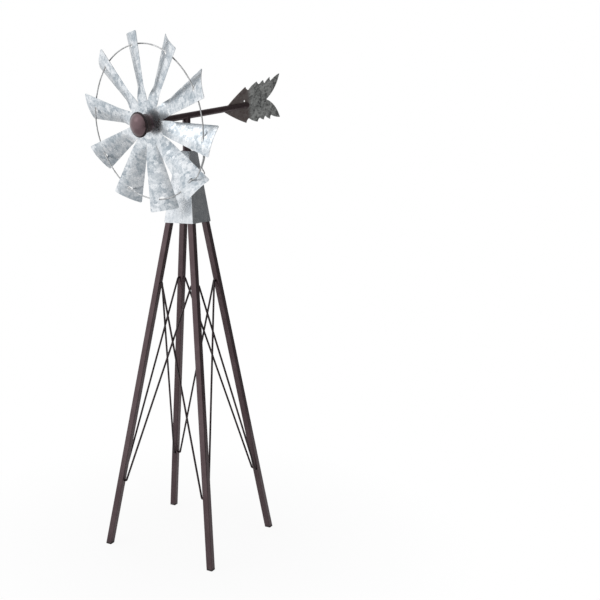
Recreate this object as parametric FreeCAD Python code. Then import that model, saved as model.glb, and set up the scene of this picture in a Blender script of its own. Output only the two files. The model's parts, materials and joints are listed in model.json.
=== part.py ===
import FreeCAD, Part
import math
import os

# Garden windmill: a four-legged tower of square tube with crossed wire braces,
# a folded sheet-metal cap, a head that swivels on a pivot post and a ten-bladed wheel.
# Millimetres, +Z up, origin on the ground midway between the four feet, wheel facing -Y.

V = FreeCAD.Vector
os.makedirs("parts", exist_ok=True)

# --- tower ---
leg_side = 12.7            # outside of the square tube
leg_wall = 0.9
leg_corner = 1.5           # outside corner radius of the tube
foot_offset = 122.0        # leg centre line to the tower axis at the ground
cap_bottom_z = 664.0
cap_top_z = 804.0
leg_cap_offset = 26.05     # the same at the cap's bottom edge
leg_top_z = 736.0
foot_head = 3.0            # height of a foot below the tube's end
foot_spigot = 14.0         # top of the part pushed up inside the tube
plug_length = 14.0
brace_upper_z = 543.0
brace_lower_z = 134.5
brace_radius = 2.0
brace_clearance = 0.2
brace_bend = 2.7           # bend radius of the hooked ends
brace_reach = 3.8          # leg face to the hook's corner
brace_end = 4.0            # how far a hook reaches into its leg
brace_gap = 2.3            # half the distance between the centres of crossing braces

# --- cap ---
sheet = 0.9
cap_bottom_half = 34.4
cap_top_half = 15.8
cap_edge_radius = 2.0
hem_height = 9.0
hem_gap = 0.15
hem_clearance = 1.6        # hem to leg
top_plate_sheet = 1.2
rim_depth = 2.5            # the cap's sides stand this far above its top plate

# --- pivot ---
post_radius = 8.0
post_bore = 6.1
post_top_z = 856.0
collar_radius = 9.6
collar_height = 4.0
plate_half = 20.0          # bracket that ties the leg tops to the post
plate_thickness = 3.0
screw_radius = 1.6
screw_hole_radius = 2.1
screw_length = 11.0        # below the bracket
screw_head_radius = 3.4
screw_head = 2.4
screw_slot = 0.8           # depth of the driver slot
bush_flange = 1.5
bush_length = 16.0
pin_radius = 4.0
pin_clearance = 0.05
pivot_z = 871.9            # the boom's axis crosses the tower's axis here
pin_bottom_z = 745.0

# --- head ---
head_yaw = -12.5           # boom heading at rest, from +Y
boom_nod = 7.0             # the boom is set nose down
axle_nod = 8.2             # and the axle a little further
boom_radius = 6.35
boom_wall = 1.0
boom_front = -84.0         # along the boom, from the tower axis
boom_rear = 182.0
sleeve_radius = 8.0
axle_radius = 3.0
insert_length = 22.0
axle_grip = 15.0           # length of axle held in the boom

# --- tail: places along the boom and above it ---
tail_thickness = 1.0
tail_pitch = 4.2           # the vane is set tail up in the boom
tail_lean = 7.7            # and its top leans to the right, seen from the wheel
tail_pivot = (170.0, 0.33)  # place about which it is pitched
tail_nose = 107.0
tail_barb = (177.4, 37.8)
tail_waist = (186.1, 29.3)
feather_tips = [(214.0, 42.4), (234.7, 42.1), (255.8, 44.8), (288.5, 47.1)]
feather_roots = [(222.0, 35.5), (239.5, 34.8), (258.5, 36.2)]
tail_flank = (267.5, 16.0)
tail_notch = 243.7
tail_hole = (173.0, 9.0, 2.0)
rivet_places = (140.0, 168.0)
rivet_radius = 1.6
rivet_head_radius = 3.0
rivet_head = 1.4           # a head's height above the boom
rivet_dome = 4.2           # radius of a head's round

# --- wheel: distances along the axle from the plane of the rim wire, tail side positive ---
wheel_front = 107.0        # rim plane to the tower axis, along the axle and then the boom
wheel_turn = -6.5          # first blade, from straight up, clockwise seen from the front
blade_count = 10
blade_sheet = 0.8
blade_tip = 168.5
blade_root = 38.0
blade_half_tip = 30.0
blade_pitch = 25.0
blade_curl = 16.0          # the pitch changes by this much from the middle to each edge
twist_end = 74.0
corner_radius = 3.0
slot_radius = 146.0
slot_length = 12.0
slot_width = 5.6
rim_radius = 146.0
wire_radius = 1.3
dome_radius = 22.0
rim_lip_radius = 24.2
neck_radius = 17.5
neck_wall = 2.0
flange_radius = 17.8
flange_thickness = 3.5
flange_chamfer = 0.3
back_plate_radius = 20.0
back_plate_thickness = 3.0
dome_plane = -23.0
dome_depth = 11.6
dome_wall = 1.0
hub_screw_circle = 12.0
hub_screw_radius = 1.5
hub_screw_length = 14.0
hub_screw_head_radius = 2.8
hub_screw_head = 1.8
hub_floor = 6.0            # thickness of the neck's rear wall
bush_lip_radius = 8.0
bush_lip = 1.6
axle_front = -18.5
axle_washer_radius = 7.0
axle_washer = 1.0
spacer_radius = 4.5
nut_across = 10.0
nut_thickness = 5.0


def save(name, shape):
    """Write one node, made of one solid or of several separate ones."""
    shape.exportStep("parts/" + name + ".step")


def cylinder(radius, length, base, direction=V(0, 0, 1)):
    return Part.makeCylinder(radius, length, base, direction)


def tube(outer, inner, length, base, direction=V(0, 0, 1)):
    return cylinder(outer, length, base, direction).cut(cylinder(inner, length, base, direction))


def revolved(profile):
    """Turn a closed profile of (along, radius) points about the X axis."""
    points = [V(along, 0, radius) for along, radius in profile]
    face = Part.Face(Part.makePolygon(points + points[:1]))
    return face.revolve(V(0, 0, 0), V(1, 0, 0), 360)


def square(half, z, x=0.0, y=0.0):
    corners = [(-1, -1), (1, -1), (1, 1), (-1, 1), (-1, -1)]
    return Part.makePolygon([V(x + half * i, y + half * j, z) for i, j in corners])


def rounded_square(half, radius, z, x, y):
    """A square outline with round corners, level at height z."""
    edges = []
    reach = half - radius
    for quarter in range(4):
        turn = math.pi / 2 * quarter
        cosine = round(math.cos(turn))
        sine = round(math.sin(turn))

        def place(along, across):
            return V(x + cosine * along - sine * across, y + sine * along + cosine * across, z)

        middle = reach + radius * math.sqrt(0.5)
        edges.append(Part.LineSegment(place(half, -reach), place(half, reach)).toShape())
        edges.append(Part.Arc(place(half, reach), place(middle, middle), place(reach, half)).toShape())
    return Part.Wire(edges)


def frustum(bottom_half, bottom_z, top_half, top_z):
    return Part.makeLoft([square(bottom_half, bottom_z), square(top_half, top_z)], True, True)


# ---------------------------------------------------------------- tower

leg_slope = (foot_offset - leg_cap_offset) / cap_bottom_z


def leg_offset(z):
    """Distance of a leg's centre line from the tower axis, in X and in Y."""
    return foot_offset - leg_slope * z


def leg_prism(half, z_low, z_high, sx, sy):
    """A prism along a leg, with level ends and sides parallel to the tower's."""
    low = leg_offset(z_low)
    high = leg_offset(z_high)
    radius = leg_corner - (leg_side / 2 - half)
    face = Part.Face(rounded_square(half, radius, z_low, sx * low, sy * low))
    return face.extrude(V(sx * (high - low), sy * (high - low), z_high - z_low))


corners = {
    "front_left": (-1, -1),
    "front_right": (1, -1),
    "rear_right": (1, 1),
    "rear_left": (-1, 1),
}


def brace(start, end, inward, outward):
    """A round rod from one leg's inner face to the next leg's, with hooked ends.

    inward points from the first leg to the second; outward is the shift that lets
    the two rods of one side cross."""
    p0 = start - inward * brace_end + outward
    p1 = start + inward * brace_reach + outward
    p2 = end - inward * brace_reach + outward
    p3 = end + inward * brace_end + outward
    edges = []
    last = p0
    for before, corner, after in ((p0, p1, p2), (p1, p2, p3)):
        into = (corner - before).normalize()
        out = (after - corner).normalize()
        turn = into.getAngle(out)
        back = brace_bend * math.tan(turn / 2)
        bend_start = corner - into * back
        bend_end = corner + out * back
        bisector = (out - into).normalize()
        middle = corner + bisector * (brace_bend / math.cos(turn / 2) - brace_bend)
        edges.append(Part.LineSegment(last, bend_start).toShape())
        edges.append(Part.Arc(bend_start, middle, bend_end).toShape())
        last = bend_end
    edges.append(Part.LineSegment(last, p3).toShape())
    path = Part.Wire(edges)
    section = Part.Wire(Part.Circle(p0, inward, brace_radius).toShape())
    return path.makePipeShell([section], True, True)


# Each side is named by its outward direction; its two braces run from one upper
# corner to the other lower corner.
sides = {
    "front": (V(1, 0, 0), V(0, -1, 0)),
    "right": (V(0, 1, 0), V(1, 0, 0)),
    "rear": (V(-1, 0, 0), V(0, 1, 0)),
    "left": (V(0, -1, 0), V(-1, 0, 0)),
}


def leg_face(along, outward, end, z):
    """Centre of a leg's inner face; end is -1 for the first leg of a side, +1 for the second."""
    centre = leg_offset(z)
    return along * (end * (centre - leg_side / 2)) + outward * centre + V(0, 0, z)


brace_bores = {corner: [] for corner in corners.values()}
for name, (along, outward) in sides.items():
    for letter, end, shift in (("a", -1, brace_gap), ("b", 1, -brace_gap)):
        top = leg_face(along, outward, end, brace_upper_z)
        bottom = leg_face(along, outward, -end, brace_lower_z)
        save("brace_%s_%s" % (name, letter), brace(top, bottom, along * (-end), outward * shift))
        for place, into_leg in ((top, along * end), (bottom, along * (-end))):
            corner = into_leg + outward
            bore = cylinder(brace_radius + brace_clearance, brace_end + 2,
                            place - into_leg + outward * shift, into_leg)
            brace_bores[(round(corner.x), round(corner.y))].append(bore)

for name, (sx, sy) in corners.items():
    leg = leg_prism(leg_side / 2, foot_head, leg_top_z, sx, sy)
    leg = leg.cut(leg_prism(leg_side / 2 - leg_wall, foot_head - 1, leg_top_z + 1, sx, sy))
    leg = leg.cut(Part.makeCompound(brace_bores[(sx, sy)]))
    save("leg_" + name, leg)

    foot = leg_prism(leg_side / 2, 0, foot_head, sx, sy)
    spigot = leg_prism(leg_side / 2 - leg_wall, foot_head, foot_spigot, sx, sy)
    save("foot_" + name, foot.fuse(spigot).removeSplitter())

# ---------------------------------------------------------------- cap

cap_slope = (cap_bottom_half - cap_top_half) / (cap_top_z - cap_bottom_z)


def cap_half(z):
    return cap_bottom_half - cap_slope * (z - cap_bottom_z)


outer = frustum(cap_bottom_half, cap_bottom_z, cap_top_half, cap_top_z)
upright = [edge for edge in outer.Edges if abs(edge.Vertexes[0].Z - edge.Vertexes[1].Z) > 1]
outer = outer.makeFillet(cap_edge_radius, upright)
inner_bottom = cap_half(cap_bottom_z - 1) - sheet
inner_top = cap_half(cap_top_z + 1) - sheet
inner = frustum(inner_bottom, cap_bottom_z - 1, inner_top, cap_top_z + 1)
upright = [edge for edge in inner.Edges if abs(edge.Vertexes[0].Z - edge.Vertexes[1].Z) > 1]
inner = inner.makeFillet(cap_edge_radius - sheet, upright)
cap = outer.cut(inner)

# The bottom edge is turned inwards between the legs.
hem_outer = sheet + hem_gap
hem = frustum(cap_bottom_half - hem_outer, cap_bottom_z,
              cap_half(cap_bottom_z + hem_height) - hem_outer, cap_bottom_z + hem_height)
hem = hem.cut(frustum(cap_bottom_half - hem_outer - sheet, cap_bottom_z,
                      cap_half(cap_bottom_z + hem_height) - hem_outer - sheet,
                      cap_bottom_z + hem_height))
fold = frustum(cap_bottom_half - sheet / 2, cap_bottom_z, cap_bottom_half - sheet / 2, cap_bottom_z + sheet)
fold = fold.cut(frustum(cap_bottom_half - hem_outer - sheet, cap_bottom_z,
                        cap_bottom_half - hem_outer - sheet, cap_bottom_z + sheet))
notch_half = leg_side / 2 + hem_clearance
notches = [Part.makeBox(3 * notch_half, 3 * notch_half, 20,
                        V(sx * (leg_cap_offset + notch_half / 2) - 1.5 * notch_half,
                          sy * (leg_cap_offset + notch_half / 2) - 1.5 * notch_half, cap_bottom_z - 5))
           for sx, sy in corners.values()]
hem = hem.fuse(fold).cut(Part.makeCompound(notches))
cap = cap.fuse(hem).removeSplitter()
save("tower_cap", cap)

# The top plate sits just inside the cap, below its rim.
plate_top = cap_top_z - rim_depth
plate_bottom = plate_top - top_plate_sheet
top_plate = frustum(cap_half(plate_bottom) - sheet, plate_bottom, cap_half(plate_top) - sheet, plate_top)
upright = [edge for edge in top_plate.Edges if abs(edge.Vertexes[0].Z - edge.Vertexes[1].Z) > 1]
top_plate = top_plate.makeFillet(cap_edge_radius - sheet, upright)
top_plate = top_plate.cut(cylinder(post_radius, 10, V(0, 0, plate_top - 5)))
save("cap_top_plate", top_plate)

# ---------------------------------------------------------------- pivot

post_bottom_z = leg_top_z - 16
plate = Part.makeBox(2 * plate_half, 2 * plate_half, plate_thickness,
                     V(-plate_half, -plate_half, leg_top_z))
plate = plate.cut(cylinder(post_radius, 20, V(0, 0, leg_top_z - 5)))
screw_offset = leg_offset(leg_top_z)
screw_places = [V(sx * screw_offset, sy * screw_offset, 0) for sx, sy in corners.values()]
for place in screw_places:
    plate = plate.cut(cylinder(screw_hole_radius, 20, place + V(0, 0, leg_top_z - 5)))
save("leg_bracket", plate)

head_z = leg_top_z + plate_thickness
plugs = []
screws = []
for (sx, sy), place in zip(corners.values(), screw_places):
    plug = leg_prism(leg_side / 2 - leg_wall, leg_top_z - plug_length, leg_top_z, sx, sy)
    bore = cylinder(screw_radius, screw_length + 5, place + V(0, 0, leg_top_z - screw_length))
    plugs.append(plug.cut(bore))
    shank = cylinder(screw_radius, screw_length + plate_thickness, place + V(0, 0, leg_top_z - screw_length))
    head = cylinder(screw_head_radius, screw_head, place + V(0, 0, head_z))
    head = head.makeFillet(1.0, [head.Edges[0]])
    slot = Part.makeBox(8, 1, 5, place + V(-4, -0.5, head_z + screw_head - screw_slot))
    screws.append(shank.fuse(head).cut(slot))
save("leg_top_plugs", Part.makeCompound(plugs))
save("bracket_screws", Part.makeCompound(screws))

save("pivot_post", tube(post_radius, post_bore, post_top_z - post_bottom_z, V(0, 0, post_bottom_z)))

collar = tube(collar_radius, post_radius, collar_height, V(0, 0, plate_top))
save("post_collar", collar.makeChamfer(0.8, [edge for edge in collar.Edges
                                             if edge.Curve.TypeId == "Part::GeomCircle"
                                             and edge.Curve.Radius > post_radius + 0.1
                                             and edge.Curve.Center.z > plate_top + 1]))

bush_bore = pin_radius + pin_clearance
upper_bush = tube(post_bore, bush_bore, bush_length, V(0, 0, post_top_z - bush_length))
upper_bush = upper_bush.fuse(tube(post_radius - 0.4, bush_bore, bush_flange, V(0, 0, post_top_z)))
save("post_bush_upper", upper_bush.removeSplitter())
save("post_bush_lower", tube(post_bore, bush_bore, bush_length, V(0, 0, post_bottom_z + 34)))

# ---------------------------------------------------------------- head

boom_heading = 90 + head_yaw
turn_yaw = FreeCAD.Placement(V(0, 0, 0), FreeCAD.Rotation(V(0, 0, 1), boom_heading))


def shifted(x, y=0.0, z=0.0):
    return FreeCAD.Placement(V(x, y, z), FreeCAD.Rotation())


def nodded(degrees):
    """Turn about Y that lifts the rear end of the X axis."""
    return FreeCAD.Placement(V(0, 0, 0), FreeCAD.Rotation(V(0, 1, 0), -degrees))


def rolled(degrees):
    return FreeCAD.Placement(V(0, 0, 0), FreeCAD.Rotation(V(1, 0, 0), degrees))


boom_frame = shifted(0, 0, pivot_z).multiply(turn_yaw).multiply(nodded(boom_nod))

# The axle starts from the middle of the boom's front end.
boom_nose = boom_frame.multVec(V(boom_front, 0, 0))
axle_reach = wheel_front + boom_front
axle_heading = shifted(boom_nose.x, boom_nose.y, boom_nose.z).multiply(turn_yaw).multiply(nodded(axle_nod))
wheel_frame = axle_heading.multiply(shifted(-axle_reach))

# The vane, and the rivets that hold it, seen from the boom.
rivet_lean = rolled(tail_lean)
vane_set = rivet_lean.multiply(shifted(tail_pivot[0], 0, tail_pivot[1])).multiply(nodded(tail_pitch))
vane_set = vane_set.multiply(shifted(-tail_pivot[0]))


def placed(shape, frame):
    """Copy of a shape made with its boom or axle along X, in its place on the tower."""
    result = shape.copy()
    result.Placement = frame.multiply(shape.Placement)
    return result


boom_length = boom_rear - boom_front
boom_solid = cylinder(boom_radius, boom_length, V(boom_front, 0, 0), V(1, 0, 0))
boom_bore = cylinder(boom_radius - boom_wall, boom_length + 2, V(boom_front - 1, 0, 0), V(1, 0, 0))
tail_slot = Part.makeBox(120, tail_thickness, 6 * boom_radius,
                         V(tail_nose, -tail_thickness / 2, -3 * boom_radius))
rivet_bores = placed(Part.makeCompound([cylinder(rivet_radius, 30, V(along, -15, 0), V(0, 1, 0))
                                        for along in rivet_places]), rivet_lean)
boom = boom_solid.cut(boom_bore).cut(placed(tail_slot, vane_set)).cut(rivet_bores)

# The pin stands upright; the boom and its sleeve are welded on at the nod angle.
pin_top_z = pivot_z + 2
pin = cylinder(pin_radius, pin_top_z - pin_bottom_z, V(0, 0, pin_bottom_z))
pin_foot = [edge for edge in pin.Edges
            if edge.Curve.TypeId == "Part::GeomCircle" and edge.Curve.Center.z < pin_bottom_z + 1]
pin = pin.makeChamfer(1.0, pin_foot)
boom = placed(boom, boom_frame).cut(cylinder(pin_radius, 20, V(0, 0, pin_top_z - 20)))
save("boom_tube", boom)
save("swivel_pin", pin)

sleeve_bottom_z = post_top_z + bush_flange + 0.5
sleeve = tube(sleeve_radius, pin_radius, pivot_z - sleeve_bottom_z, V(0, 0, sleeve_bottom_z))
save("swivel_sleeve", sleeve.cut(placed(boom_solid, boom_frame)))
washer = tube(sleeve_radius - 0.6, pin_radius, 0.5, V(0, 0, sleeve_bottom_z - 0.5))
save("thrust_washer", washer)

insert = cylinder(boom_radius - boom_wall, insert_length, V(boom_front, 0, 0), V(1, 0, 0))
axle_seat = cylinder(axle_radius, axle_grip + 5, V(axle_reach - 5, 0, 0), V(1, 0, 0))
save("axle_insert", placed(insert, boom_frame).cut(placed(axle_seat, wheel_frame)))


def tail_outline():
    """The arrow-shaped vane, upper edge then its mirror image below the boom."""
    upper = [tail_barb, tail_waist]
    for number, tip in enumerate(feather_tips):
        upper.append(tip)
        if number < len(feather_roots):
            upper.append(feather_roots[number])
    upper.append(tail_flank)
    lower = [(along, -height) for along, height in reversed(upper)]
    return [(tail_nose, 0.0)] + upper + [(tail_notch, 0.0)] + lower


outline = [V(along, -tail_thickness / 2, height) for along, height in tail_outline()]
vane = Part.Face(Part.makePolygon(outline + outline[:1])).extrude(V(0, tail_thickness, 0))
vane = vane.cut(cylinder(tail_hole[2], 10, V(tail_hole[0], -5, tail_hole[1]), V(0, 1, 0)))
save("tail_vane", placed(placed(vane, vane_set).cut(rivet_bores), boom_frame))


def tail_rivet(along):
    """A round-headed rivet right through the boom and the vane."""
    heads = Part.makeSphere(rivet_dome, V(along, boom_radius + rivet_head - rivet_dome, 0))
    heads = heads.fuse(Part.makeSphere(rivet_dome, V(along, rivet_dome - boom_radius - rivet_head, 0)))
    heads = heads.common(cylinder(rivet_head_radius, 40, V(along, -20, 0), V(0, 1, 0)))
    shank = cylinder(rivet_radius, 2 * boom_radius, V(along, -boom_radius, 0), V(0, 1, 0))
    return heads.cut(boom_solid).fuse(shank)


rivets = [placed(tail_rivet(along), boom_frame.multiply(rivet_lean)) for along in rivet_places]
save("tail_rivets", Part.makeCompound(rivets))

# ---------------------------------------------------------------- wheel

face_front = -blade_sheet / 2
face_back = blade_sheet / 2
hub_bore = axle_radius + 3.2
plate_back = face_back + back_plate_thickness
neck_rear = face_front - flange_thickness


def pitch_at(radius):
    """Share of the full twist and curl that a blade has at this radius."""
    share = (radius - blade_root) / (twist_end - blade_root)
    share = min(max(share, 0.0), 1.0)
    return share * share * (3 - 2 * share)


def half_width(radius):
    root_half = blade_root * math.tan(math.pi / blade_count)
    slope = (blade_half_tip - root_half) / (blade_tip - blade_root)
    return root_half + slope * (radius - blade_root)


def blade_section(radius, offset):
    """Points across a blade at one radius, from its anticlockwise edge to its clockwise edge.

    The blade stands along +Z, clockwise is -Y seen from the front, the front is -X."""
    steps = 8
    share = pitch_at(radius)
    half = half_width(radius)
    points = {0: V(0, 0, radius)}
    for side in (-1, 1):
        place = V(0, 0, radius)
        for step in range(1, steps + 1):
            middle = side * (step - 0.5) / steps
            angle = math.radians(share * (blade_pitch - blade_curl * middle))
            length = side * half / steps
            place = place + V(-math.sin(angle) * length, -math.cos(angle) * length, 0)
            points[side * step] = place
    ordered = []
    for step in range(-steps, steps + 1):
        angle = math.radians(share * (blade_pitch - blade_curl * step / steps))
        normal = V(math.cos(angle), -math.sin(angle), 0)
        ordered.append(points[step] + normal * offset)
    return ordered


def blade_wire(radius):
    front = blade_section(radius, -blade_sheet / 2)
    back = blade_section(radius, blade_sheet / 2)
    front_curve = Part.BSplineCurve()
    front_curve.interpolate(front)
    back_curve = Part.BSplineCurve()
    back_curve.interpolate(back)
    edges = [
        front_curve.toShape(),
        Part.LineSegment(front[-1], back[-1]).toShape(),
        back_curve.toShape(),
        Part.LineSegment(back[0], front[0]).toShape(),
    ]
    return Part.Wire(Part.__sortEdges__(edges))


twist_steps = 8
stations = [blade_root + (twist_end - blade_root) * step / twist_steps for step in range(twist_steps + 1)]
blade = Part.makeLoft([blade_wire(radius) for radius in stations + [blade_tip]], True, True)
for side in (-1, 1):
    # Round a tip corner: take away a square block that keeps a quarter-round.
    angle = blade_pitch - blade_curl * side
    tip_line = blade_section(blade_tip, 0.0)
    edge_point = tip_line[-1] if side > 0 else tip_line[0]
    across = Part.makeBox(20, 20, 20, V(-10, -corner_radius, -corner_radius))
    across = across.cut(cylinder(corner_radius, 30, V(-15, -corner_radius, -corner_radius), V(1, 0, 0)))
    if side > 0:
        across = across.mirror(V(0, 0, 0), V(0, 1, 0))
    across.rotate(V(0, 0, 0), V(0, 0, 1), -angle)
    across.translate(edge_point)
    blade = blade.cut(across)
straight = slot_length - slot_width
slot_middle = Part.makeBox(40, straight, slot_width, V(-20, -straight / 2, -slot_width / 2))
slot_ends = [cylinder(slot_width / 2, 40, V(-20, side * straight / 2, 0), V(1, 0, 0)) for side in (-1, 1)]
slot = slot_middle.fuse(slot_ends)
slot.rotate(V(0, 0, 0), V(0, 0, 1), -blade_pitch)
slot.translate(V(0, 0, slot_radius - 1.0))
blade = blade.cut(slot)

# The flat middle is a ten-sided plate; each blade grows from one of its sides.
root_radius = blade_root / math.cos(math.pi / blade_count)
root_angles = [math.pi * (2 * number + 1) / blade_count for number in range(blade_count + 1)]
centre_points = [V(face_front, root_radius * math.sin(angle), root_radius * math.cos(angle))
                 for angle in root_angles]
centre = Part.Face(Part.makePolygon(centre_points)).extrude(V(blade_sheet, 0, 0))
centre = centre.cut(cylinder(hub_bore, 10, V(-5, 0, 0), V(1, 0, 0)))
blades = []
for number in range(blade_count):
    turned = blade.copy()
    turned.rotate(V(0, 0, 0), V(1, 0, 0), 360.0 * number / blade_count)
    blades.append(turned)
wheel_turned = FreeCAD.Placement(V(0, 0, 0), FreeCAD.Rotation(V(1, 0, 0), wheel_turn))
spin_frame = wheel_frame.multiply(wheel_turned)
hub_screw_places = [V(0, hub_screw_circle * math.cos(angle), hub_screw_circle * math.sin(angle))
                    for angle in (0.0, 2 * math.pi / 3, 4 * math.pi / 3)]
wheel_sheet = centre.fuse(blades)
screw_bores = [cylinder(hub_screw_radius, 40, place + V(-20, 0, 0), V(1, 0, 0)) for place in hub_screw_places]
wheel_sheet = wheel_sheet.cut(Part.makeCompound(screw_bores))
save("blade_wheel", placed(wheel_sheet, spin_frame))
save("rim_wire", placed(Part.makeTorus(rim_radius, wire_radius, V(0, 0, 0), V(1, 0, 0)), spin_frame))

# Hub, from the back plate forwards.
back_plate = revolved([(face_back, hub_bore), (face_back, back_plate_radius),
                       (plate_back - 1.0, back_plate_radius), (plate_back, back_plate_radius - 1.0),
                       (plate_back, hub_bore)])
back_plate = back_plate.cut(Part.makeCompound(screw_bores))
save("hub_back_plate", placed(back_plate, spin_frame))

flange = revolved([(face_front, hub_bore), (face_front, flange_radius),
                   (neck_rear + flange_chamfer, flange_radius), (neck_rear, flange_radius - flange_chamfer),
                   (neck_rear, hub_bore)])
flange = flange.cut(Part.makeCompound(screw_bores))
save("hub_flange", placed(flange, spin_frame))

floor_front = neck_rear - hub_floor
neck = revolved([(neck_rear, hub_bore), (neck_rear, neck_radius), (dome_plane + 3.0, neck_radius),
                 (dome_plane + 3.0, neck_radius - neck_wall), (floor_front, neck_radius - neck_wall),
                 (floor_front, hub_bore)])
neck = neck.cut(Part.makeCompound(screw_bores))
save("hub_neck", placed(neck, spin_frame))

# Dome: a spun shell with a rolled lip, closed by its own curve at the front.
sphere_radius = (dome_radius ** 2 + dome_depth ** 2) / (2 * dome_depth)
dome_centre = dome_plane - dome_depth + sphere_radius
shell = Part.makeSphere(sphere_radius, V(dome_centre, 0, 0))
shell = shell.cut(Part.makeSphere(sphere_radius - dome_wall, V(dome_centre, 0, 0)))
shell = shell.common(cylinder(dome_radius, 60, V(dome_plane, 0, 0), V(-1, 0, 0)))
lip = revolved([(dome_plane, dome_radius - 2), (dome_plane, rim_lip_radius - 0.8),
                (dome_plane + 0.8, rim_lip_radius), (dome_plane + 3.2, rim_lip_radius),
                (dome_plane + 4.0, rim_lip_radius - 0.8), (dome_plane + 4.0, neck_radius),
                (dome_plane + 1.5, neck_radius), (dome_plane + 1.5, dome_radius - 2)])
save("hub_dome", placed(shell.fuse(lip), spin_frame))

hub_screws = []
for place in hub_screw_places:
    shank = cylinder(hub_screw_radius, hub_screw_length,
                     place + V(plate_back - hub_screw_length, 0, 0), V(1, 0, 0))
    head = cylinder(hub_screw_head_radius, hub_screw_head, place + V(plate_back, 0, 0), V(1, 0, 0))
    hub_screws.append(placed(shank.fuse(head), spin_frame))
save("hub_screws", Part.makeCompound(hub_screws))

bush_inner = axle_radius + pin_clearance
bush_front = floor_front - 0.4
bush_back = plate_back + bush_lip
hub_bush = revolved([(bush_back, bush_inner), (bush_back, bush_lip_radius), (plate_back, bush_lip_radius),
                     (plate_back, hub_bore), (bush_front, hub_bore), (bush_front, bush_inner)])
save("hub_bush", placed(hub_bush, spin_frame))

# ---------------------------------------------------------------- axle, in the head

axle = cylinder(axle_radius, axle_reach + axle_grip - axle_front, V(axle_front, 0, 0), V(1, 0, 0))
save("wheel_axle", placed(axle, wheel_frame))
nut_rear = bush_front - 0.2 - axle_washer
spacer_front = bush_back + 0.5 + axle_washer
washers = [placed(tube(axle_washer_radius, axle_radius, axle_washer, V(along, 0, 0), V(1, 0, 0)), wheel_frame)
           for along in (nut_rear, spacer_front - axle_washer)]
save("axle_washers", Part.makeCompound(washers))
spacer = tube(spacer_radius, axle_radius, axle_reach + 1 - spacer_front, V(spacer_front, 0, 0), V(1, 0, 0))
save("axle_spacer", placed(spacer, wheel_frame).cut(placed(boom_solid, boom_frame)))


def hexagon(across, thickness, along):
    radius = across / math.sqrt(3)
    points = [V(along, radius * math.cos(math.radians(60 * k)), radius * math.sin(math.radians(60 * k)))
              for k in range(7)]
    return Part.Face(Part.makePolygon(points)).extrude(V(thickness, 0, 0))


nut = hexagon(nut_across, nut_thickness, nut_rear - nut_thickness)
nut = nut.cut(cylinder(axle_radius, 30, V(-30, 0, 0), V(1, 0, 0)))
save("axle_nut", placed(nut, wheel_frame))
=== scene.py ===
"""Garden windmill: the looks of its sheets, wire, hub and paint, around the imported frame."""

import json
import math

import bmesh
import bpy
from bpy.props import FloatProperty, FloatVectorProperty, IntProperty, PointerProperty
from mathutils import Matrix, Vector


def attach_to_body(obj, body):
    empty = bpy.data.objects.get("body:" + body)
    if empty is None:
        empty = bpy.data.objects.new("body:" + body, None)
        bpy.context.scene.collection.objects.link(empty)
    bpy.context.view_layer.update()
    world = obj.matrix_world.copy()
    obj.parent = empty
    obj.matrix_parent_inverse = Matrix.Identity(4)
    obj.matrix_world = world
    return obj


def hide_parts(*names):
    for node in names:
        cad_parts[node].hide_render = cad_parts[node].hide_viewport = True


bl_info = {
    "name": "Garden Windmill",
    "version": (1, 0, 0),
    "blender": (4, 5, 0),
    "location": "3D View > Sidebar > Windmill",
    "description": "Makes the sheet metal, wire, hub, paint and stage of a garden windmill",
    "category": "Object",
}

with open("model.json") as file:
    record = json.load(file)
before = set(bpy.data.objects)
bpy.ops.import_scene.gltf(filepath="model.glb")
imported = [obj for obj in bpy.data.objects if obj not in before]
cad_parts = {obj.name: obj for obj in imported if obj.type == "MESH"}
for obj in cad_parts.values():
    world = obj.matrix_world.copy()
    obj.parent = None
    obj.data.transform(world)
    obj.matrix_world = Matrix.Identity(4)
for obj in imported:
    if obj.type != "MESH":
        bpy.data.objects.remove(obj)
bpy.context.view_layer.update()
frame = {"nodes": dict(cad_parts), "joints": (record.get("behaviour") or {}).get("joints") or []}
MM = 0.001
NODES = frame["nodes"]
SPIN = next(joint for joint in frame["joints"] if joint["name"] == "wheel_spin")
WHEEL_CENTRE = Vector(SPIN["pos_m"])
HEADING = math.atan2(SPIN["axis"][1], SPIN["axis"][0])


def head_frame(origin):
    """Frame whose X runs back along the boom and whose Z is up across it."""
    back = Vector(SPIN["axis"]).normalized()
    up = (Vector((0, 0, 1)) - back * back.z).normalized()
    side = up.cross(back)
    turn = Matrix((back, side, up)).transposed().to_4x4()
    return Matrix.Translation(origin) @ turn


def tail_frame(tail):
    """Frame of the tail sheet, which leans and is pitched on the boom; X runs back along it."""
    boom = (Matrix.Translation((0, 0, tail.pivot_height)) @ Matrix.Rotation(HEADING, 4, "Z")
            @ Matrix.Rotation(-tail.boom_nod, 4, "Y") @ Matrix.Rotation(tail.lean, 4, "X"))
    return (boom @ Matrix.Translation((tail.pivot, 0, tail.lift)) @ Matrix.Rotation(-tail.pitch, 4, "Y")
            @ Matrix.Translation((-tail.pivot, 0, 0)))


# ---------------------------------------------------------------- sizes and colours

def length(name, description, millimetres):
    return FloatProperty(name=name, description=description, default=millimetres * MM, min=0.0,
                         unit="LENGTH", subtype="DISTANCE", precision=4)


def angle(name, description, degrees):
    return FloatProperty(name=name, description=description, default=math.radians(degrees),
                         unit="ROTATION", subtype="ANGLE")


def colour(name, description, red, green, blue):
    return FloatVectorProperty(name=name, description=description, default=(red, green, blue, 1.0),
                               subtype="COLOR", size=4, min=0.0, max=1.0)


def amount(name, description, value, low=0.0, high=1.0):
    return FloatProperty(name=name, description=description, default=value, min=low, max=high,
                         subtype="FACTOR" if high <= 1.0 else "NONE")


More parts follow.
